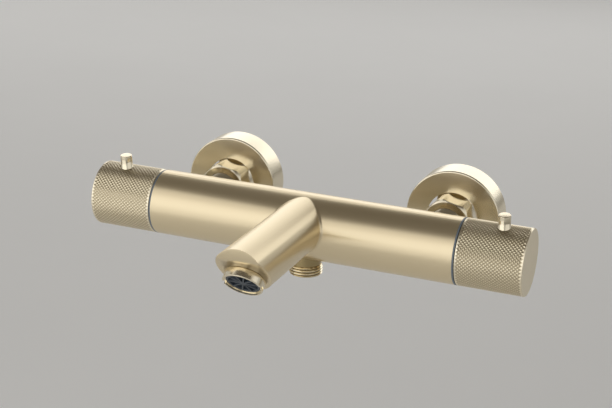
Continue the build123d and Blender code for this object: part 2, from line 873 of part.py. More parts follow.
def port_pair(middle_angle):
    """Two opposite sector openings of a ceramic disc."""
    with BuildSketch() as ports:
        for angle in (middle_angle, middle_angle + 180):
            start = angle - disc_port_sweep / 2
            add(sector(disc_port_inner, disc_port_outer, start, start + disc_port_sweep))
    return ports.sketch


with BuildPart() as flow_fixed_disc:
    with BuildSketch(across(fixed_disc_start)):
        Circle(disc_radius)
        Rectangle(2 * lug_radius, disc_lug_width)
        add(port_pair(90), mode=Mode.SUBTRACT)
    extrude(amount=disc_thickness)

save_left(flow_fixed_disc.part, "flow_fixed_disc")

with BuildPart() as flow_moving_disc:
    with BuildSketch(across(moving_disc_start)):
        Circle(disc_radius)
        add(port_pair(0), mode=Mode.SUBTRACT)
    extrude(amount=disc_thickness)
    with BuildSketch(across(sleeve_start)):
        with PolarLocations(disc_radius, 2, start_angle=disc_tab_angle):
            Rectangle(2 * tab_depth + 2 * fit_clearance, disc_lug_width + 2 * fit_clearance)
    extrude(amount=-tab_length - fit_clearance, mode=Mode.SUBTRACT)

save_left(flow_moving_disc.part, "flow_moving_disc")

with BuildPart() as flow_spindle:
    with BuildSketch(across(sleeve_start)):
        Circle(disc_radius)
        Circle(disc_radius - sleeve_wall, mode=Mode.SUBTRACT)
    extrude(amount=sleeve_length)
    with BuildSketch(across(sleeve_start)):
        Circle(disc_radius)
        Circle(disc_radius - sleeve_wall, mode=Mode.SUBTRACT)
        with PolarLocations(disc_radius, 2, start_angle=disc_tab_angle):
            Rectangle(2 * tab_depth, disc_lug_width, mode=Mode.INTERSECT)
    extrude(amount=-tab_length)
    with BuildSketch(across(sleeve_end - sleeve_floor)):
        Circle(disc_radius)
    extrude(amount=sleeve_floor)
    with BuildSketch(across(sleeve_end - sleeve_floor)):
        Circle(spindle_radius)
    extrude(amount=spline_start - sleeve_end + sleeve_floor)
    with BuildSketch(across(spline_start)):
        add(spline_outline(spindle_radius))
    extrude(amount=spline_length)
    with BuildSketch(across(spindle_seal_start)):
        Circle(spindle_radius + cut_overrun)
        Circle(seal_groove_radius, mode=Mode.SUBTRACT)
    extrude(amount=seal_section, mode=Mode.SUBTRACT)
    for angle in (0, 90):
        with BuildSketch(radial(outlet_port_station, angle, spindle_radius)):
            Rectangle(window_length, window_width)
        extrude(amount=valve_radius, mode=Mode.SUBTRACT)

save_left(flow_spindle.part, "flow_spindle")


# Inlets: nipple, union nut, check valve, filter washer, offset union and escutcheon
collar_depth = nut_front + nut_lip
washer_depth = collar_depth + nipple_collar_thickness
union_depth = washer_depth + filter_thickness
block_depth = union_depth + union_thread_length
block_end = block_depth + union_block_length
check_radius = nipple_bore_diameter / 2 - fit_clearance
check_start = washer_depth - check_valve_length - running_gap

with BuildPart() as inlet_nipple:
    with BuildSketch(inlet(boss_depth)):
        Circle(nipple_thread_diameter / 2 - fit_clearance)
    extrude(amount=-nipple_thread_length)
    with BuildSketch(inlet(boss_depth)):
        Circle(nipple_neck_diameter / 2)
    extrude(amount=washer_depth - boss_depth)
    with BuildSketch(inlet(collar_depth)):
        Circle(nipple_collar_diameter / 2)
    extrude(amount=nipple_collar_thickness)
    with BuildSketch(inlet(washer_depth)):
        Circle(nipple_bore_diameter / 2)
    extrude(amount=check_start - washer_depth, mode=Mode.SUBTRACT)
    with BuildSketch(inlet(washer_depth)):
        Circle(nipple_throat_diameter / 2)
    extrude(amount=boss_depth - nipple_thread_length - washer_depth, mode=Mode.SUBTRACT)

save(inlet_nipple.part, "cold_inlet_nipple")
save_left(inlet_nipple.part, "hot_inlet_nipple")


def union_nut(turn):
    """Hexagon nut with turned corners, whose front lip runs behind the nipple's collar."""
    with BuildPart() as nut:
        with BuildSketch(inlet(nut_front)):
            RegularPolygon(nut_across_flats / sqrt(3), 6, rotation=turn)
        extrude(amount=nut_length)
        with BuildSketch(inlet(nut_front)):
            Circle(nut_corner_diameter / 2)
        extrude(amount=nut_length, mode=Mode.INTERSECT)
        with BuildSketch(Plane(origin=inlet(nut_front).origin, x_dir=(1, 0, 0), z_dir=(0, 0, 1))):
            with BuildLine():
                Polyline(
                    (nut_across_flats / 2 - nut_chamfer / 2, 0),
                    (nut_across_flats / 2 + 2 * nut_chamfer, 2 * nut_chamfer),
                    (nut_across_flats / 2 + 4 * nut_chamfer, 0),
                    close=True,
                )
            make_face()
        revolve(axis=Axis(inlet(nut_front).origin, (0, 1, 0)), mode=Mode.SUBTRACT)
        with BuildSketch(inlet(nut_front)):
            Circle(nipple_neck_diameter / 2 + running_gap)
        extrude(amount=nut_length, mode=Mode.SUBTRACT)
        with BuildSketch(inlet(collar_depth)):
            Circle(union_thread_diameter / 2 + fit_clearance)
        extrude(amount=nut_length, mode=Mode.SUBTRACT)
    return nut.part


save(union_nut(nut_turn), "cold_union_nut")
save_left(union_nut(-nut_turn), "hot_union_nut")

seat_start = washer_depth - running_gap - check_seat_thickness
poppet_start = seat_start - poppet_thickness
spider_end = check_start + spider_thickness

with BuildPart() as check_valve_housing:
    with BuildSketch(inlet(check_start)):
        Circle(check_radius)
        Circle(check_radius - check_wall, mode=Mode.SUBTRACT)
    extrude(amount=check_valve_length)
    with BuildSketch(inlet(seat_start)):
        Circle(check_radius)
        Circle(check_seat_bore / 2, mode=Mode.SUBTRACT)
    extrude(amount=check_seat_thickness)
    with BuildSketch(inlet(check_start)):
        for angle in (0, 60, 120):
            Rectangle(2 * check_radius - check_wall, spider_arm, rotation=angle)
        Circle(spider_hub_diameter / 2)
        Circle(poppet_stem_diameter / 2 + fit_clearance, mode=Mode.SUBTRACT)
    extrude(amount=spider_thickness)

save(check_valve_housing.part, "cold_check_valve_housing")
save_left(check_valve_housing.part, "hot_check_valve_housing")

with BuildPart() as check_poppet:
    with BuildSketch(inlet(poppet_start)):
        Circle(poppet_diameter / 2)
    extrude(amount=poppet_thickness)
    with BuildSketch(inlet(poppet_start)):
        Circle(poppet_stem_diameter / 2)
    extrude(amount=check_start - poppet_start)

save(check_poppet.part, "cold_check_poppet")
save_left(check_poppet.part, "hot_check_poppet")

check_spring = coil(
    inlet(spider_end + fit_clearance),
    (check_spring_diameter - check_spring_wire) / 2,
    check_spring_wire,
    check_spring_turns,
    poppet_start - spider_end - 2 * fit_clearance,
)
save(check_spring, "cold_check_spring")
save_left(check_spring, "hot_check_spring")

with BuildPart() as filter_washer:
    with BuildSketch(inlet(washer_depth)):
        Circle(nipple_collar_diameter / 2)
        Circle(filter_ring_bore / 2, mode=Mode.SUBTRACT)
    extrude(amount=filter_thickness)
    with BuildSketch(inlet(union_depth)):
        Circle(filter_ring_bore / 2)
        Circle(filter_hole_diameter / 2, mode=Mode.SUBTRACT)
        with PolarLocations(filter_ring_bore / 3, 6):
            Circle(filter_hole_diameter / 2, mode=Mode.SUBTRACT)
    extrude(amount=-filter_mesh_thickness)

save(filter_washer.part, "cold_filter_washer")
save_left(filter_washer.part, "hot_filter_washer")

with BuildPart() as offset_union:
    with BuildSketch(inlet(union_depth)):
        Circle(union_thread_diameter / 2)
    extrude(amount=union_thread_length)
    with BuildSketch(inlet(block_depth)):
        Circle(union_thread_diameter / 2)
        with Locations((0, -union_offset)):
            Circle(union_block_diameter / 2)
        make_hull()
    extrude(amount=union_block_length)
    with BuildSketch(inlet(block_end)):
        with Locations((0, -union_offset)):
            Circle(wall_thread_diameter / 2)
    extrude(amount=wall_to_axis + wall_thread_length - block_end)
    with BuildSketch(inlet(union_depth)):
        Circle(union_bore_diameter / 2)
    extrude(amount=block_depth + union_block_length * 2 / 3 - union_depth, mode=Mode.SUBTRACT)
    with BuildSketch(inlet(wall_to_axis + wall_thread_length)):
        with Locations((0, -union_offset)):
            Circle(wall_bore_diameter / 2)
    wall_bore_length = wall_to_axis + wall_thread_length - block_depth - union_block_length / 3
    extrude(amount=-wall_bore_length, mode=Mode.SUBTRACT)

save(offset_union.part, "cold_offset_union")
save_left(offset_union.part, "hot_offset_union")

with BuildPart() as escutcheon:
    with BuildSketch(inlet(wall_to_axis)):
        Circle(escutcheon_diameter / 2)
    extrude(amount=-escutcheon_depth)
    fillet(escutcheon.faces().sort_by(Axis.Y)[0].edges(), escutcheon_edge)
    with BuildSketch(inlet(wall_to_axis)):
        Circle(escutcheon_diameter / 2 - escutcheon_wall)
    extrude(amount=escutcheon_wall - escutcheon_depth, mode=Mode.SUBTRACT)
    with BuildSketch(inlet(wall_to_axis)):
        Circle(escutcheon_hole_diameter / 2)
    extrude(amount=-escutcheon_depth, mode=Mode.SUBTRACT)

save(escutcheon.part, "cold_escutcheon")
save_left(escutcheon.part, "hot_escutcheon")


# Shower outlet: nipple with a smooth neck over its thread
outlet_thread_start = outlet_seat + outlet_neck_length
outlet_end = outlet_thread_start + outlet_thread_length

with BuildPart() as shower_outlet:
    with BuildSketch(radial(0, 270, channel_radius + fit_clearance)):
        Circle(outlet_tail_diameter / 2 - fit_clearance)
    extrude(amount=outlet_seat - channel_radius)
    with BuildSketch(radial(0, 270, outlet_seat)):
        Circle(outlet_neck_diameter / 2)
    extrude(amount=outlet_neck_length)
    with BuildSketch(radial(0, 270, outlet_thread_start)):
        Circle(outlet_thread_diameter / 2)
    extrude(amount=outlet_thread_length)
    chamfer(shower_outlet.faces().sort_by(Axis.Z)[0].edges(), outlet_chamfer)
    with BuildSketch(radial(0, 270, channel_radius)):
        Circle(outlet_bore_diameter / 2)
    extrude(amount=outlet_end - channel_radius, mode=Mode.SUBTRACT)

save(shower_outlet.part, "shower_outlet")


# Aerator: threaded shell with key notches, ribbed insert and washer
insert_radius = insert_diameter / 2
insert_face = aerator_length - aerator_recess

with BuildPart() as aerator_shell:
    with BuildSketch(slant_face.offset(-aerator_thread_depth)):
        Circle(aerator_thread_diameter / 2 - fit_clearance)
    extrude(amount=aerator_thread_depth + aerator_gap)
    with BuildSketch(slant_face.offset(aerator_gap)):
        Circle(aerator_diameter / 2)
    extrude(amount=aerator_length - aerator_gap)
    with BuildSketch(slant_face.offset(-aerator_thread_depth)):
        Circle(insert_radius + fit_clearance)
    extrude(amount=aerator_thread_depth + aerator_length, mode=Mode.SUBTRACT)
    with BuildSketch(slant_face.offset(aerator_length)):
        Circle(aerator_diameter / 2 - aerator_mouth_wall)
    extrude(amount=-aerator_recess, mode=Mode.SUBTRACT)
    with BuildSketch(slant_face.offset(aerator_length)):
        Rectangle(aerator_diameter + cut_overrun, aerator_notch_width)
    extrude(amount=-aerator_notch_depth, mode=Mode.SUBTRACT)

save(aerator_shell.part, "aerator_shell")

with BuildPart() as aerator_insert:
    with BuildSketch(slant_face.offset(-aerator_thread_depth)):
        Circle(insert_radius)
    extrude(amount=aerator_thread_depth + insert_face)
    with BuildSketch(slant_face.offset(insert_face)):
        Circle(insert_radius - insert_rim)
        for rib in range(insert_rib_count):
            turn = 180 * rib / insert_rib_count
            Rectangle(2 * insert_radius, insert_rib, rotation=turn, mode=Mode.SUBTRACT)
    extrude(amount=-insert_depth, mode=Mode.SUBTRACT)

save(aerator_insert.part, "aerator_insert")

with BuildPart() as aerator_washer:
    with BuildSketch(slant_face.offset(-aerator_thread_depth)):
        Circle(aerator_thread_diameter / 2 - 2 * fit_clearance)
        Circle(aerator_washer_bore / 2, mode=Mode.SUBTRACT)
    extrude(amount=-aerator_washer_thickness)

save(aerator_washer.part, "aerator_washer")
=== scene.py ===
"""Finishes, details and lights the wall-mounted bath mixer, laid out as a small add-on."""

import json
import math

import bmesh
import bpy
from bpy.props import FloatProperty, FloatVectorProperty, IntProperty, PointerProperty
from bpy.types import Operator, Panel, PropertyGroup
from mathutils import Matrix, Vector


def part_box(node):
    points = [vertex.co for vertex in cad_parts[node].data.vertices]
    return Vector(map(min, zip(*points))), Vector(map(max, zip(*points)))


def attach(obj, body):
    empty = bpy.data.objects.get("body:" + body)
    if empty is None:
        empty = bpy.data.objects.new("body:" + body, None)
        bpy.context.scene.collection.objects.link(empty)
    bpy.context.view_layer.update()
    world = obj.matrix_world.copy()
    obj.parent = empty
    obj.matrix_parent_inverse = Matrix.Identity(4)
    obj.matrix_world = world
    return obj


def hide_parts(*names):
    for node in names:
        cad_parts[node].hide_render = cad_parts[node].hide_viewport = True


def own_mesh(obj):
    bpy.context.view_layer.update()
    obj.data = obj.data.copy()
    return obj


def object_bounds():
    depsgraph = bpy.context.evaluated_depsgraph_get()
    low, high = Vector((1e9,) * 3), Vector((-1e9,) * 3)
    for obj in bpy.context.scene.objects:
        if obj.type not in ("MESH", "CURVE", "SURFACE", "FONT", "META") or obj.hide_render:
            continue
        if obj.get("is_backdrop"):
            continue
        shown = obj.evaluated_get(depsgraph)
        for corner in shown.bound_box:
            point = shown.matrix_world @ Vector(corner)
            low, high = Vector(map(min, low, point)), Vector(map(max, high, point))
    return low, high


bl_info = {
    "name": "Bath mixer",
    "version": (1, 0, 0),
    "blender": (4, 5, 0),
    "location": "3D View > Sidebar > Mixer",
    "description": "Knurled handles, threads, metal finishes and a studio for the bath mixer",
    "category": "Object",
}

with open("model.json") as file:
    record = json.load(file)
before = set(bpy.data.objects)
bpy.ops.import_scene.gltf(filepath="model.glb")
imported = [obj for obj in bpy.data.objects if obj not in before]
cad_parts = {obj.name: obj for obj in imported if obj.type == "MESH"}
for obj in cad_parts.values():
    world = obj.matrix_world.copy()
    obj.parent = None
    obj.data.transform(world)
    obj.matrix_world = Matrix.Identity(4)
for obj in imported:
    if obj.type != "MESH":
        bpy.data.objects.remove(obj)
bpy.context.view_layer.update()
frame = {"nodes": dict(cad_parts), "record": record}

# Directions
ALONG_BAR = Vector((1, 0, 0))
TO_WALL = Vector((0, 1, 0))
UPWARDS = Vector((0, 0, 1))
BUTTON_AXIS = Vector((0, -0.139173, 0.990268))
AERATOR_AXIS = Vector((0, -0.737277, -0.67559))

# The bar, measured on a glide ring, which is as wide
ring_low, ring_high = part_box("temperature_ring")
BAR_CENTRE = Vector((0, (ring_low[1] + ring_high[1]) / 2, (ring_low[2] + ring_high[2]) / 2))
BAR_RADIUS = (ring_high[2] - ring_low[2]) / 2

# Handles, in metres like all that follow
HANDLE_WALL = 0.003
HANDLE_END_WALL = 0.004
HANDLE_RIM_DROP = 0.00008
HANDLE_INNER_EDGE = 0.0003
HANDLE_OPEN_EDGE = 0.0002
HANDLE_END_EDGE = 0.00025
HANDLE_END_CENTRE = 0.008
SCREW_HOLE_GAP = 0.0001
SCREW_HOLE_DEPTH = 0.006

# Offset unions: each thread stops short of both ends and closes over the core
WALL_THREAD_RADIUS = 0.0104775
WALL_THREAD_LENGTH = 0.0226
WALL_THREAD_SETBACK = 0.0005
UNION_CORE_GAP = 0.00005
UNION_RIM_DEPTH = 0.0004

# Shower outlet
OUTLET_THREAD_LENGTH = 0.0066
OUTLET_BORE_RADIUS = 0.007
OUTLET_BORE_EDGE = 0.0003
OUTLET_NECK_RADIUS = 0.0093

# Aerator, along its axis from the spout's slanted face
AERATOR_START = -0.0065
AERATOR_GAP = 0.0006
AERATOR_RECESS = 0.0049
AERATOR_LENGTH = 0.0061
AERATOR_EDGE = 0.0003
AERATOR_THREAD_RADIUS = 0.0109
AERATOR_MOUTH_WALL = 0.00105
AERATOR_INSERT_GAP = 0.0002
AERATOR_NOTCH = (0.003, 0.004, 0.003)

# Studio
FLOOR_DROP = 0.4
FLOOR_SIZE = 30.0
HORIZON = (0.42, 0.7)


class MixerSizes(PropertyGroup):
    """Sizes of the details that the solids leave out."""

    knurl_count: IntProperty(name="Diamonds round", description="Diamonds round each handle", default=57, min=12)
    knurl_rows: IntProperty(name="Diamond rows", description="Rows of half diamonds along each handle", default=34)
    knurl_depth: FloatProperty(
        name="Knurl depth", description="Depth of the knurl's grooves", default=0.0003, unit="LENGTH", precision=5
    )
    rim_width: FloatProperty(
        name="Rim width", description="Plain rim at each end of a handle", default=0.0003, unit="LENGTH", precision=5
    )
    thread_pitch: FloatProperty(
        name="Thread pitch", description="Pitch of the pipe threads", default=0.001814, unit="LENGTH", precision=6
    )
    thread_depth: FloatProperty(
        name="Thread depth", description="Depth of the pipe threads", default=0.00116, unit="LENGTH", precision=6
    )


class MixerColours(PropertyGroup):
    """Colours of the finishes."""

    gold: FloatVectorProperty(
        name="Pale gold", description="Colour of the plating", subtype="COLOR", size=3, default=(0.85, 0.765, 0.585)
    )
    brass: FloatVectorProperty(
        name="Raw brass", description="Colour of unplated brass", subtype="COLOR", size=3, default=(0.71, 0.55, 0.28)
    )
    ring_grey: FloatVectorProperty(
        name="Glide ring", description="Colour of the glide rings", subtype="COLOR", size=3,
        default=(0.16, 0.19, 0.22),
    )
    insert_grey: FloatVectorProperty(
        name="Aerator insert", description="Colour of the aerator's insert", subtype="COLOR", size=3,
        default=(0.045, 0.058, 0.075),
    )
    floor: FloatVectorProperty(
        name="Floor", description="Colour of the studio floor", subtype="COLOR", size=3, default=(0.9, 0.9, 0.89)
    )


class Wire:
    """A node's output socket, whose arithmetic adds Math nodes to the material."""

    def __init__(self, finish, socket):
        self.finish = finish
        self.socket = socket

    def math(self, operation, *values):
        inputs = {index: value for index, value in enumerate(values)}
        return self.finish.node("ShaderNodeMath", {"operation": operation}, inputs)

    def __add__(self, other):
        return self.math("ADD", self, other)

    def __radd__(self, other):
        return self.math("ADD", other, self)

    def __sub__(self, other):
        return self.math("SUBTRACT", self, other)

    def __mul__(self, other):
        return self.math("MULTIPLY", self, other)

    def __rmul__(self, other):
        return self.math("MULTIPLY", other, self)

    def __pow__(self, other):
        return self.math("POWER", self, other)


class Finish:
    """A material under construction."""

    def __init__(self, name):
        self.material = bpy.data.materials.new(name)
        self.material.use_nodes = True
        self.tree = self.material.node_tree
        self.tree.nodes.clear()
        self.shader = self.tree.nodes.new("ShaderNodeBsdfPrincipled")
        output = self.tree.nodes.new("ShaderNodeOutputMaterial")
        self.tree.links.new(self.shader.outputs[0], output.inputs["Surface"])

    def node(self, kind, settings=None, inputs=None, output=0):
        """Adds a node with its settings made first, then fills or links its sockets."""
        made = self.tree.nodes.new(kind)
        for name, value in (settings or {}).items():
            setattr(made, name, value)
        for name, value in (inputs or {}).items():
            self.feed(made.inputs[name], value)
        return Wire(self, made.outputs[output])

    def feed(self, socket, value):
        if isinstance(value, Wire):
            self.tree.links.new(value.socket, socket)
        else:
            socket.default_value = value

    def set(self, **inputs):
        """Fills the shader's own sockets."""
        for name, value in inputs.items():
            self.feed(self.shader.inputs[name.replace("_", " ")], value)

    def position(self):
        """The point on the piece as x, y and z, in metres."""
        place = self.node("ShaderNodeTexCoord", output="Object")
        split = self.node("ShaderNodeSeparateXYZ", inputs={0: place})
        parts = split.socket.node.outputs
        return [Wire(self, parts[axis]) for axis in "XYZ"]

    def vector(self, x, y, z):
        return self.node("ShaderNodeCombineXYZ", inputs={"X": x, "Y": y, "Z": z})

    def noise(self, where, detail=3.0):
        inputs = {"Vector": where, "Scale": 1.0, "Detail": detail, "Roughness": 0.6}
        return self.node("ShaderNodeTexNoise", inputs=inputs)

    def steps(self, value, low, high, to_low=0.0, to_high=1.0):
        """Smooth step of a value from one level to another."""
        settings = {"interpolation_type": "SMOOTHSTEP"}
        inputs = {0: value, 1: low, 2: high, 3: to_low, 4: to_high}
        return self.node("ShaderNodeMapRange", settings, inputs)

    def blend(self, share, first, second):
        """Colour between two colours."""
        inputs = {0: share, 6: opaque(first), 7: opaque(second)}
        return self.node("ShaderNodeMix", {"data_type": "RGBA"}, inputs, output=2)

    def bump(self, height, strength):
        inputs = {"Height": height, "Strength": strength, "Distance": 0.0001}
        return self.node("ShaderNodeBump", inputs=inputs)

    def size(self, value):
        """The value without its sign."""
        return value.math("ABSOLUTE", value)

    def reach(self, a, b, centre_a, centre_b):
        """Distance from an axis that runs square to the directions a and b."""
        side = a - centre_a
        rise = b - centre_b
        return (side * side + rise * rise) ** 0.5


class Sky(Finish):
    """The world's nodes under construction."""

    def __init__(self, world):
        self.tree = world.node_tree


def opaque(colour):
    if isinstance(colour, Wire):
        return colour
    return (*colour[:3], 1.0)


def shade(colour, factor):
    return tuple(part * factor for part in colour[:3])


def colours():
    return bpy.context.scene.mixer_colours


def sizes():
    return bpy.context.scene.mixer_sizes


def brushed_gold():
    """Plated bar and spout, brushed round each of their axes."""
    finish = Finish("gold_brushed")
    x, y, z = finish.position()
    from_bar = finish.reach(y, z, BAR_CENTRE.y, BAR_CENTRE.z)
    on_branch = finish.steps(from_bar, BAR_RADIUS + 0.0002, BAR_RADIUS + 0.0012)
    along = x + on_branch * (y - x)
    across = y + on_branch * (x - y)
    lines = finish.noise(finish.vector(along * 5200, across * 60, z * 60), detail=2.0)
    streaks = finish.noise(finish.vector(along * 900, across * 25, z * 25), detail=3.0)
    cloud = finish.noise(finish.vector(x * 35, y * 35, z * 35), detail=2.0)
    gold = colours().gold
    tone = finish.blend(finish.steps(streaks, 0.3, 0.7), shade(gold, 0.92), shade(gold, 1.05))
    finish.set(
        Base_Color=tone,
        Metallic=1.0,
        Roughness=0.17 + 0.12 * streaks + 0.05 * cloud,
        Normal=finish.bump(lines + 2.0 * streaks, 0.22),
    )
    return finish.material


def turned_gold(name, roughness, centre, axis, grooves=None):
    """Plated turned part with fine tool marks round its own axis, and with painted shade of darker brass between two
    radii.
    """
    finish = Finish(name)
    x, y, z = finish.position()
    side, depth, rise = x - centre[0], y - centre[1], z - centre[2]
    along = side * axis[0] + depth * axis[1] + rise * axis[2]
    reach = (side * side + depth * depth + rise * rise - along * along) ** 0.5
    marks = finish.noise(finish.vector(along * 4200, reach * 4200, 0.0), detail=2.0)
    cloud = finish.noise(finish.vector(x * 60, y * 60, z * 60), detail=2.0)
    gold = colours().gold
    tone = finish.blend(cloud, shade(gold, 0.97), shade(gold, 1.02))
    if grooves:
        # Painted shade: darker brass in the recesses below the groove radii
        tone = finish.blend(finish.steps(reach, *grooves), shade(colours().brass, 0.55), tone)
    finish.set(
        Base_Color=tone,
        Metallic=1.0,
        Roughness=roughness + 0.06 * cloud,
        Normal=finish.bump(marks, 0.1),
    )
    return finish.material


def knurled_gold():
    """Handle with painted shade in its grooves and lighter diamond tops, with tool marks on its flat end."""
    finish = Finish("gold_knurled")
    x, y, z = finish.position()
    from_axis = finish.reach(y, z, BAR_CENTRE.y, BAR_CENTRE.z)
    depth = sizes().knurl_depth
    height = finish.steps(from_axis, BAR_RADIUS - 0.9 * depth, BAR_RADIUS - 0.1 * depth)
    low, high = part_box("temperature_handle")
    on_end = finish.steps(finish.size(x), high[0] - 0.0004, high[0] - 0.0001)
    marks = finish.noise(finish.vector(x * 4200, from_axis * 5200, 0.0), detail=2.0)
    cloud = finish.noise(finish.vector(x * 60, y * 60, z * 60), detail=2.0)
    gold = colours().gold
    # Painted shade: the grooves are coloured darker and the diamond tops lighter, by depth below the bar's radius
    groove_shade = [part * share for part, share in zip(gold, (0.66, 0.62, 0.54))]
    net = finish.blend(height, groove_shade, shade(gold, 1.1))
    tone = finish.blend(on_end, net, shade(gold, 1.0))
    finish.set(
        Base_Color=tone,
        Metallic=1.0,
        Roughness=0.26 + 0.1 * on_end + 0.06 * cloud,
        Normal=finish.bump(marks * on_end, 0.14),
    )
    return finish.material


def plain_finish(name, colour, metallic, roughness, grain=400.0, depth=0.1):
    """Moulded, rubber or plain metal piece with a fine grain."""
    finish = Finish(name)
    x, y, z = finish.position()
    fine = finish.noise(finish.vector(x * grain * 8, y * grain * 8, z * grain * 8))
    cloud = finish.noise(finish.vector(x * grain, y * grain, z * grain))
    tone = finish.blend(cloud, shade(colour, 0.9), shade(colour, 1.08))
    finish.set(
        Base_Color=tone,
        Metallic=metallic,
        Roughness=roughness + 0.1 * cloud,
        Normal=finish.bump(fine, depth),
    )
    return finish.material


def aerator_centre():
    """Where the aerator's axis leaves the spout's slanted face."""
    low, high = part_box("aerator_shell")
    outer = (high[0] - low[0]) / 2
    tip = Vector((0, low[1] + outer * abs(AERATOR_AXIS.z), low[2] + outer * abs(AERATOR_AXIS.y)))
    return tip - AERATOR_AXIS * AERATOR_LENGTH


def finish_named(name, maker, *details):
    """The material of that name, made once."""
    found = bpy.data.materials.get(name)
    return found if found else maker(*details)


def body_and_slot(node):
    """The CAD body that a node rides on, and its slot in the record."""
    bodies = frame["record"]["behaviour"]["bodies"]
    body = next(name for name, nodes in bodies.items() if node in nodes)
    slot = next(part["material_slot"] for part in frame["record"]["subparts"] if part["node"] == node)
    return body, slot


def place(shape, name, material, node, sharp_angle=35.0):
    """Turns a shape into a piece that stands for a CAD node."""
    mesh = bpy.data.meshes.new(name)
    shape.to_mesh(mesh)
    shape.free()
    mesh.shade_smooth()
    mesh.set_sharp_from_angle(angle=math.radians(sharp_angle))
    mesh.materials.append(material)
    piece = bpy.data.objects.new(name, mesh)
    bpy.context.scene.collection.objects.link(piece)
    body, slot = body_and_slot(node)
    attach(piece, body)
    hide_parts(node)
    return piece


def smooth_copy(node, name, material, sharp_angle=30.0, edge=0.0):
    """Merged copy of a node's solid, shaded smooth, with its sharp edges broken when an edge width is given."""
    shape = bmesh.new()
    shape.from_mesh(frame["nodes"][node].data)
    bmesh.ops.remove_doubles(shape, verts=shape.verts, dist=1e-6)
    bmesh.ops.dissolve_degenerate(shape, edges=shape.edges, dist=1e-7)
    piece = place(shape, name, material, node, sharp_angle)
    if edge:
        bevel = piece.modifiers.new("Broken edges", "BEVEL")
        bevel.width = edge
        bevel.segments = 2
        bevel.limit_method = "ANGLE"
        bevel.angle_limit = math.radians(sharp_angle)
        bevel.harden_normals = True
    return piece


def turned(profile, centre, axis, steps):
    """Shape turned from points of (distance along the axis, radius)."""
    shape = bmesh.new()
    side = axis.orthogonal().normalized()
    points = [shape.verts.new(centre + axis * along + side * radius) for along, radius in profile]
    lines = [shape.edges.new(pair) for pair in zip(points, points[1:])]
    bmesh.ops.spin(
        shape, geom=points + lines, cent=centre, axis=axis, angle=2 * math.pi, steps=steps, use_merge=True
    )
    bmesh.ops.remove_doubles(shape, verts=shape.verts, dist=1e-7)
    bmesh.ops.recalc_face_normals(shape, faces=shape.faces)
    return shape


def knurled_handle(node):
    """Hollow handle with a fine diamond knurl between two plain rims."""
    size = sizes()
    low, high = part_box(node)
    outwards = 1 if high[0] > 0 else -1
    start = low[0] if outwards > 0 else -high[0]
    end = high[0] if outwards > 0 else -low[0]
    root = BAR_RADIUS - size.knurl_depth
    inner = BAR_RADIUS - HANDLE_WALL
    rim = BAR_RADIUS - HANDLE_RIM_DROP
    knurl_start = start + size.rim_width
    knurl_end = end - size.rim_width
    row_length = (knurl_end - knurl_start) / size.knurl_rows
    profile = [
        (end - HANDLE_END_WALL, 0), (end - HANDLE_END_WALL, inner), (start + HANDLE_INNER_EDGE, inner),
        (start, inner + HANDLE_INNER_EDGE), (start, rim - HANDLE_OPEN_EDGE), (start + HANDLE_OPEN_EDGE, rim),
    ]
    for row in range(size.knurl_rows + 1):
        profile.append((knurl_start + row * row_length, BAR_RADIUS if 0 < row < size.knurl_rows else rim))
    profile += [(end - HANDLE_END_EDGE, rim), (end, rim - HANDLE_END_EDGE), (end, HANDLE_END_CENTRE), (end, 0)]
    steps = 2 * size.knurl_count
    shape = turned(profile, BAR_CENTRE, ALONG_BAR * outwards, steps)

    # Every other crossing of the net lies in a groove
    inside = knurl_start + row_length / 2, knurl_end - row_length / 2
    for corner in shape.verts:
        along = abs(corner.co.x)
        out = Vector((0, corner.co.y, corner.co.z)) - BAR_CENTRE
        if inside[0] < along < inside[1] and out.length > root:
            row = round((along - knurl_start) / row_length)
            turn = round(math.atan2(out.z, out.y) / (2 * math.pi) * steps)
            if (row + turn) % 2 == 0:
                corner.co -= out.normalized() * size.knurl_depth

    def in_net(face):
        """Whether a face lies in the knurled band and on the outside."""
        middle = face.calc_center_median()
        out = middle - middle.project(ALONG_BAR) - BAR_CENTRE
        in_band = all(knurl_start - 1e-6 < abs(corner.co.x) < knurl_end + 1e-6 for corner in face.verts)
        return in_band and out.length > root - 0.001

    net = [face for face in shape.faces if in_net(face)]
    bmesh.ops.triangulate(shape, faces=net, quad_method="SHORT_EDGE")
    return shape


def cut_hole(piece, centre, axis, radius, depth):
    """Bores a round hole into a piece."""
    shape = bmesh.new()
    turn = axis.to_track_quat("Z", "Y").to_matrix().to_4x4()
    matrix = Matrix.Translation(centre) @ turn
    bmesh.ops.create_cone(
        shape, cap_ends=True, segments=48, radius1=radius, radius2=radius, depth=2 * depth, matrix=matrix
    )
    subtract(piece, shape)


def subtract(piece, shape):
    """Takes a closed shape out of a piece."""
    mesh = bpy.data.meshes.new("cutter")
    shape.to_mesh(mesh)
    shape.free()
    tool = bpy.data.objects.new("cutter", mesh)
    bpy.context.scene.collection.objects.link(tool)
    cutter = piece.modifiers.new("Cut", "BOOLEAN")
    cutter.object = tool
    cutter.operation = "DIFFERENCE"
    cutter.solver = "EXACT"
    bpy.context.view_layer.update()
    cut = bpy.data.meshes.new_from_object(piece.evaluated_get(bpy.context.evaluated_depsgraph_get()))
    piece.modifiers.remove(cutter)
    old = piece.data
    piece.data = cut
    cut.name = old.name
    bpy.data.meshes.remove(old)
    bpy.data.objects.remove(tool)
    bpy.data.meshes.remove(mesh)


def cut_box(piece, centre, extent):
    """Cuts a notch across the aerator's rim."""
    shape = bmesh.new()
    turn = AERATOR_AXIS.to_track_quat("Z", "Y").to_matrix().to_4x4()
    matrix = Matrix.Translation(centre) @ turn @ Matrix.Diagonal((*extent, 1.0))
    bmesh.ops.create_cube(shape, size=1.0, matrix=matrix)
    subtract(piece, shape)


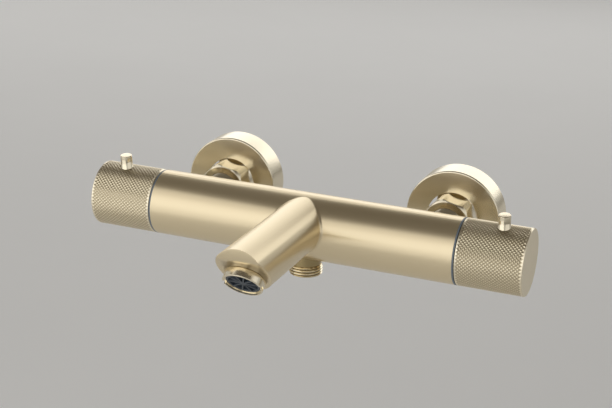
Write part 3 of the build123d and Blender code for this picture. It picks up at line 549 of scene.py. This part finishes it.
def thread(centre, axis, start, end, crest, pitch, depth, steps=64):
    """Open threaded sleeve, whose crest stands at a radius, trimmed at both ends."""
    turns = math.ceil((end - start) / pitch) + 2
    profile = []
    for turn in range(turns):
        at = start - pitch + turn * pitch
        profile += [(at, crest - depth), (at + pitch * 0.1, crest - depth)]
        profile += [(at + pitch * 0.42, crest - depth * 0.1), (at + pitch * 0.5, crest)]
        profile += [(at + pitch * 0.6, crest), (at + pitch * 0.68, crest - depth * 0.1)]
    profile.append((start - pitch + turns * pitch, crest - depth))
    shape = bmesh.new()
    side = axis.orthogonal().normalized()
    points = [shape.verts.new(centre + axis * along + side * radius) for along, radius in profile]
    lines = [shape.edges.new(pair) for pair in zip(points, points[1:])]
    bmesh.ops.spin(
        shape, geom=points + lines, cent=centre, axis=axis, dvec=axis * (pitch / steps), angle=2 * math.pi,
        steps=steps, use_merge=False,
    )
    bmesh.ops.remove_doubles(shape, verts=shape.verts, dist=2e-6)
    for at, outer in ((start, False), (end, True)):
        geom = shape.verts[:] + shape.edges[:] + shape.faces[:]
        bmesh.ops.bisect_plane(
            shape, geom=geom, dist=1e-7, plane_co=centre + axis * at, plane_no=axis, clear_outer=outer,
            clear_inner=not outer,
        )
    return shape


def rim_of(shape, centre, axis, at):
    """Open edges that lie in one plane square to the axis."""
    found = []
    for edge in shape.edges:
        if edge.is_boundary and all(abs((c.co - centre).dot(axis) - at) < 1e-6 for c in edge.verts):
            found.append(edge)
    return found


def carry_rim(shape, centre, axis, rim, path):
    """Extrudes an open rim through points of (distance along the axis, radius)."""
    for along, radius in path:
        made = bmesh.ops.extrude_edge_only(shape, edges=rim)["geom"]
        for corner in (item for item in made if isinstance(item, bmesh.types.BMVert)):
            out = corner.co - centre
            out -= axis * out.dot(axis)
            corner.co = centre + axis * along + out.normalized() * radius
        rim = [item for item in made if isinstance(item, bmesh.types.BMEdge)]
        rim = [edge for edge in rim if edge.is_boundary]
    return rim


class MIXER_OT_body(Operator):
    """Brushed bar, spout and inlet bosses"""

    bl_idname = "mixer.body"
    bl_label = "Body"

    def execute(self, context):
        smooth_copy("mixer_body", "bar_and_spout", finish_named("gold_brushed", brushed_gold), 28.0)
        return {"FINISHED"}


class MIXER_OT_handles(Operator):
    """Two knurled handles with their screw holes"""

    bl_idname = "mixer.handles"
    bl_label = "Handles"

    def execute(self, context):
        for node in ("flow_handle", "temperature_handle"):
            material = finish_named("gold_knurled", knurled_gold)
            piece = place(knurled_handle(node), f"{node}_knurled", material, node, 20.0)
            low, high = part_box(node.replace("handle", "set_screw"))
            station = (low[0] + high[0]) / 2
            inwards = Vector((0, (low[1] + high[1]) / 2, (low[2] + high[2]) / 2)) - BAR_CENTRE
            inwards.normalize()
            screw = Vector((station, 0, 0)) + BAR_CENTRE + inwards * BAR_RADIUS
            cut_hole(piece, screw, inwards, (high[0] - low[0]) / 2 + SCREW_HOLE_GAP, SCREW_HOLE_DEPTH)
        return {"FINISHED"}


class MIXER_OT_buttons(Operator):
    """Polished stop buttons and the glide rings"""

    bl_idname = "mixer.buttons"
    bl_label = "Buttons and rings"

    def execute(self, context):
        for side in ("flow", "temperature"):
            low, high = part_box(f"{side}_stop_button")
            centre = Vector(((low[0] + high[0]) / 2, BAR_CENTRE.y, BAR_CENTRE.z))
            gold = turned_gold(f"gold_button_{side}", 0.12, centre, BUTTON_AXIS)
            smooth_copy(f"{side}_stop_button", f"{side}_pin", gold)
            grey = finish_named("glide_ring", plain_finish, "glide_ring", colours().ring_grey, 0.0, 0.3)
            smooth_copy(f"{side}_ring", f"{side}_glide_ring", grey, edge=0.00012)
        return {"FINISHED"}


class MIXER_OT_inlets(Operator):
    """Wall covers, union nuts and nipples"""

    bl_idname = "mixer.inlets"
    bl_label = "Inlets"

    def execute(self, context):
        for side in ("hot", "cold"):
            low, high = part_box(f"{side}_escutcheon")
            centre = Vector(((low[0] + high[0]) / 2, 0, BAR_CENTRE.z))
            cover = turned_gold(f"gold_cover_{side}", 0.2, centre, TO_WALL)
            smooth_copy(f"{side}_escutcheon", f"{side}_cover", cover)
            nut = turned_gold(f"gold_nut_{side}", 0.16, centre, TO_WALL)
            smooth_copy(f"{side}_union_nut", f"{side}_nut", nut, edge=0.00025)
            smooth_copy(f"{side}_inlet_nipple", f"{side}_nipple", nut)
        return {"FINISHED"}


class MIXER_OT_unions(Operator):
    """Offset unions with the pipe threads that go into the wall"""

    bl_idname = "mixer.unions"
    bl_label = "Offset unions"

    def execute(self, context):
        size = sizes()
        brass = bpy.data.materials["plain_raw_brass"]
        for side in ("hot", "cold"):
            node = f"{side}_offset_union"
            low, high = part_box(node)
            # The pipes stand at the frame's own height, above the covers' centres
            centre = Vector(((low[0] + high[0]) / 2, 0, 0))
            start = high[1] - WALL_THREAD_LENGTH
            thread_ends = start + WALL_THREAD_SETBACK, high[1] - WALL_THREAD_SETBACK
            root = WALL_THREAD_RADIUS - size.thread_depth
            shape = bmesh.new()
            shape.from_mesh(frame["nodes"][node].data)
            bmesh.ops.remove_doubles(shape, verts=shape.verts, dist=1e-6)
            for corner in shape.verts:
                out = Vector((corner.co.x - centre.x, 0, corner.co.z - centre.z))
                if corner.co.y > start - 1e-5 and abs(out.length - WALL_THREAD_RADIUS) < 0.0005:
                    corner.co -= out.normalized() * (out.length - root + UNION_CORE_GAP)
            place(shape, f"{side}_union", brass, node, 30.0)
            sleeve = thread(
                centre, TO_WALL, *thread_ends, WALL_THREAD_RADIUS, size.thread_pitch, size.thread_depth
            )
            for at in thread_ends:
                rim = rim_of(sleeve, centre, TO_WALL, at)
                carry_rim(sleeve, centre, TO_WALL, rim, [(at, root - UNION_RIM_DEPTH)])
            bmesh.ops.recalc_face_normals(sleeve, faces=sleeve.faces)
            place(sleeve, f"{side}_union_thread", brass, node, 40.0)
        return {"FINISHED"}


class MIXER_OT_springs(Operator):
    """Smooth-shaded copies of the springs under the stop buttons and the check valves, each with a mesh of its own
    """

    bl_idname = "mixer.springs"
    bl_label = "Springs"

    def execute(self, context):
        springs = (
            ("flow_button_spring", "flow_stop_press", BUTTON_AXIS),
            ("temperature_button_spring", "temperature_stop_press", BUTTON_AXIS),
            ("hot_check_spring", "hot_check_open", TO_WALL),
            ("cold_check_spring", "cold_check_open", TO_WALL),
        )
        for node, joint, axis in springs:
            slot = body_and_slot(node)[1]
            piece = smooth_copy(node, f"{node}_coil", bpy.data.materials[f"plain_{slot}"], 60.0)
            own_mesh(piece)
        return {"FINISHED"}


class MIXER_OT_outlet(Operator):
    """Shower outlet with its pipe thread"""

    bl_idname = "mixer.outlet"
    bl_label = "Shower outlet"

    def execute(self, context):
        size = sizes()
        low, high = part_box("shower_outlet")
        crest = (high[0] - low[0]) / 2
        length = OUTLET_THREAD_LENGTH
        centre = Vector((0, BAR_CENTRE.y, low[2]))
        shape = thread(centre, UPWARDS, 0.0, length, crest, size.thread_pitch, size.thread_depth)
        for corner in shape.verts:
            out = Vector((corner.co.x, corner.co.y - centre.y, 0))
            for away in (corner.co.z - centre.z, length - (corner.co.z - centre.z)):
                most = crest - size.thread_depth * 0.85 + away
                if out.length > most:
                    corner.co -= out.normalized() * (out.length - most)
                    out = Vector((corner.co.x, corner.co.y - centre.y, 0))
        upper = rim_of(shape, centre, UPWARDS, length)
        lower = rim_of(shape, centre, UPWARDS, 0.0)
        bore, neck = OUTLET_BORE_RADIUS, OUTLET_NECK_RADIUS
        top = high[2] - low[2]
        carry_rim(shape, centre, UPWARDS, upper, [(length, neck), (top, neck)])
        inside = [(0.0, bore + OUTLET_BORE_EDGE), (OUTLET_BORE_EDGE, bore), (top, bore)]
        carry_rim(shape, centre, UPWARDS, lower, inside)
        bmesh.ops.recalc_face_normals(shape, faces=shape.faces)
        # Painted shade in the thread roots, as darker brass between these radii
        grooves = (crest - size.thread_depth * 0.9, crest - size.thread_depth * 0.3)
        gold = turned_gold("gold_outlet", 0.12, centre, UPWARDS, grooves)
        place(shape, "threaded_outlet", gold, "shower_outlet", 40.0)
        return {"FINISHED"}


class MIXER_OT_aerator(Operator):
    """Aerator shell with its two notches, and its ribbed insert"""

    bl_idname = "mixer.aerator"
    bl_label = "Aerator"

    def execute(self, context):
        low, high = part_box("aerator_shell")
        outer = (high[0] - low[0]) / 2
        centre = aerator_centre()
        gold = turned_gold("gold_aerator", 0.13, centre, AERATOR_AXIS)
        mouth = outer - AERATOR_MOUTH_WALL
        edge = AERATOR_EDGE
        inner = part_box("aerator_insert")[1][0] + AERATOR_INSERT_GAP
        profile = (
            (AERATOR_START, inner), (AERATOR_START, AERATOR_THREAD_RADIUS), (AERATOR_GAP, AERATOR_THREAD_RADIUS),
            (AERATOR_GAP, outer - edge), (AERATOR_GAP + edge, outer), (AERATOR_LENGTH - edge, outer),
            (AERATOR_LENGTH, outer - edge), (AERATOR_LENGTH, mouth), (AERATOR_RECESS, mouth),
            (AERATOR_RECESS, inner), (AERATOR_START, inner),
        )
        piece = place(turned(profile, centre, AERATOR_AXIS, 96), "aerator_collar", gold, "aerator_shell", 40.0)
        for side in (-1, 1):
            notch = centre + AERATOR_AXIS * AERATOR_LENGTH + ALONG_BAR * outer * side
            cut_box(piece, notch, AERATOR_NOTCH)
        grey = plain_finish("aerator_plastic", colours().insert_grey, 0.0, 0.32)
        smooth_copy("aerator_insert", "aerator_star", grey, edge=0.0001)
        return {"FINISHED"}


class MIXER_OT_insides(Operator):
    """Plain finishes for every solid, of which those inside stay as they are"""

    bl_idname = "mixer.insides"
    bl_label = "Insides"

    def execute(self, context):
        recipes = {
            "raw_brass": (tuple(colours().brass), 1.0, 0.28, 300.0, 0.12),
            "grey_ring": (tuple(colours().ring_grey), 0.0, 0.35, 300.0, 0.05),
            "valve_plastic": ((0.78, 0.78, 0.75), 0.0, 0.38, 250.0, 0.06),
            "black_rubber": ((0.025, 0.025, 0.027), 0.0, 0.6, 500.0, 0.15),
            "steel": ((0.56, 0.57, 0.58), 1.0, 0.25, 500.0, 0.08),
            "ceramic": ((0.86, 0.85, 0.82), 0.0, 0.18, 200.0, 0.02),
            "copper_red": ((0.72, 0.34, 0.2), 1.0, 0.26, 300.0, 0.1),
            "insert_plastic": (tuple(colours().insert_grey), 0.0, 0.35, 300.0, 0.05),
            "gold_brushed": (tuple(colours().gold), 1.0, 0.25, 300.0, 0.05),
            "gold_polished": (tuple(colours().gold), 1.0, 0.15, 300.0, 0.05),
            "gold_satin": (tuple(colours().gold), 1.0, 0.3, 300.0, 0.05),
        }
        for part in frame["record"]["subparts"]:
            node = frame["nodes"][part["node"]]
            recipe = recipes[part["material_slot"]]
            name = f"plain_{part['material_slot']}"
            material = finish_named(name, plain_finish, name, *recipe)
            node.data.materials.clear()
            node.data.materials.append(material)
        return {"FINISHED"}


class MIXER_OT_studio(Operator):
    """Pale floor, soft lights and the camera"""

    bl_idname = "mixer.studio"
    bl_label = "Studio"

    def execute(self, context):
        scene = context.scene
        scene.view_settings.view_transform = "Standard"
        low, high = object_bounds()
        shape = bmesh.new()
        bmesh.ops.create_grid(shape, x_segments=1, y_segments=1, size=FLOOR_SIZE)
        bmesh.ops.translate(shape, verts=shape.verts, vec=(0, 0, low[2] - FLOOR_DROP))
        mesh = bpy.data.meshes.new("studio_floor")
        shape.to_mesh(mesh)
        shape.free()
        floor = bpy.data.objects.new("studio_floor", mesh)
        scene.collection.objects.link(floor)
        finish = Finish("studio_floor")
        x, y, z = finish.position()
        cloud = finish.noise(finish.vector(x * 3, y * 3, z * 3))
        tone = colours().floor
        finish.set(Base_Color=finish.blend(cloud, shade(tone, 0.98), shade(tone, 1.02)), Roughness=0.7)
        mesh.materials.append(finish.material)
        floor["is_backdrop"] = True

        world = bpy.data.worlds.new("studio")
        world.use_nodes = True
        sky = Sky(world)
        place_in_sky = sky.node("ShaderNodeTexCoord", output="Generated")
        height = sky.node("ShaderNodeSeparateXYZ", inputs={0: place_in_sky}, output="Z")
        overhead = sky.steps(height, *HORIZON)
        background = world.node_tree.nodes["Background"]
        sky.feed(background.inputs["Color"], sky.blend(overhead, (0.96, 0.96, 0.95), (1.0, 0.88, 0.72)))
        sky.feed(background.inputs["Strength"], sky.steps(height, *HORIZON, 0.52, 0.12))
        scene.world = world

        aim = Vector((0, -0.09, -0.01))
        softboxes = (
            ("front", -29, 17, 1.2, (1.94, 1.94), 0.76),
            ("right", 72, 20, 1.6, (2.2, 1.2), 0.3),
            ("back", 198, 21, 3.4, (6.8, 2.0), 1.0),
        )
        for name, azimuth, elevation, away, extent, radiance in softboxes:
            around, above = math.radians(azimuth), math.radians(elevation)
            outward = Vector(
                (math.sin(around) * math.cos(above), -math.cos(around) * math.cos(above), math.sin(above))
            )
            lamp = bpy.data.lights.new(name, "AREA")
            lamp.shape = "RECTANGLE"
            lamp.size, lamp.size_y = extent
            lamp.energy = math.pi * extent[0] * extent[1] * radiance
            light = bpy.data.objects.new(name, lamp)
            scene.collection.objects.link(light)
            light.location = aim + outward * away
            light.visible_camera = False
            light.rotation_euler = outward.to_track_quat("Z", "Y").to_euler()

        yaw, pitch, roll = (math.radians(angle) for angle in (20.95, 18.94, 2.17))
        back = Vector((math.sin(yaw) * math.cos(pitch), -math.cos(yaw) * math.cos(pitch), math.sin(pitch)))
        right = (-back).cross(UPWARDS).normalized()
        over = right.cross(-back)
        across = right * math.cos(roll) + over * math.sin(roll)
        upper = over * math.cos(roll) - right * math.sin(roll)
        lens = bpy.data.cameras.new("camera")
        lens.sensor_width = 36.0
        lens.lens = 1429.33 / 612 * 36.0
        camera = bpy.data.objects.new("camera", lens)
        scene.collection.objects.link(camera)
        turn = Matrix((across, upper, back)).transposed().to_4x4()
        camera.matrix_world = Matrix.Translation((0.2889, -0.82941, 0.28429)) @ turn
        scene.camera = camera
        return {"FINISHED"}


class MIXER_PT_panel(Panel):
    """Lists the steps that dress the mixer"""

    bl_idname = "MIXER_PT_panel"
    bl_label = "Bath mixer"
    bl_space_type = "VIEW_3D"
    bl_region_type = "UI"
    bl_category = "Mixer"

    def draw(self, context):
        for operator in OPERATORS:
            self.layout.operator(operator.bl_idname)
        for name in MixerSizes.__annotations__:
            self.layout.prop(context.scene.mixer_sizes, name)
        for name in MixerColours.__annotations__:
            self.layout.prop(context.scene.mixer_colours, name)


OPERATORS = (
    MIXER_OT_insides,
    MIXER_OT_body,
    MIXER_OT_handles,
    MIXER_OT_buttons,
    MIXER_OT_inlets,
    MIXER_OT_unions,
    MIXER_OT_springs,
    MIXER_OT_outlet,
    MIXER_OT_aerator,
    MIXER_OT_studio,
)
CLASSES = (MixerSizes, MixerColours, *OPERATORS, MIXER_PT_panel)


def register():
    for item in CLASSES:
        bpy.utils.register_class(item)
    bpy.types.Scene.mixer_sizes = PointerProperty(type=MixerSizes)
    bpy.types.Scene.mixer_colours = PointerProperty(type=MixerColours)


def unregister():
    del bpy.types.Scene.mixer_sizes
    del bpy.types.Scene.mixer_colours
    for item in reversed(CLASSES):
        bpy.utils.unregister_class(item)


def main():
    register()
    bpy.ops.mixer.insides()
    bpy.ops.mixer.body()
    bpy.ops.mixer.handles()
    bpy.ops.mixer.buttons()
    bpy.ops.mixer.inlets()
    bpy.ops.mixer.unions()
    bpy.ops.mixer.springs()
    bpy.ops.mixer.outlet()
    bpy.ops.mixer.aerator()
    bpy.ops.mixer.studio()


if __name__ == "__main__":
    main()
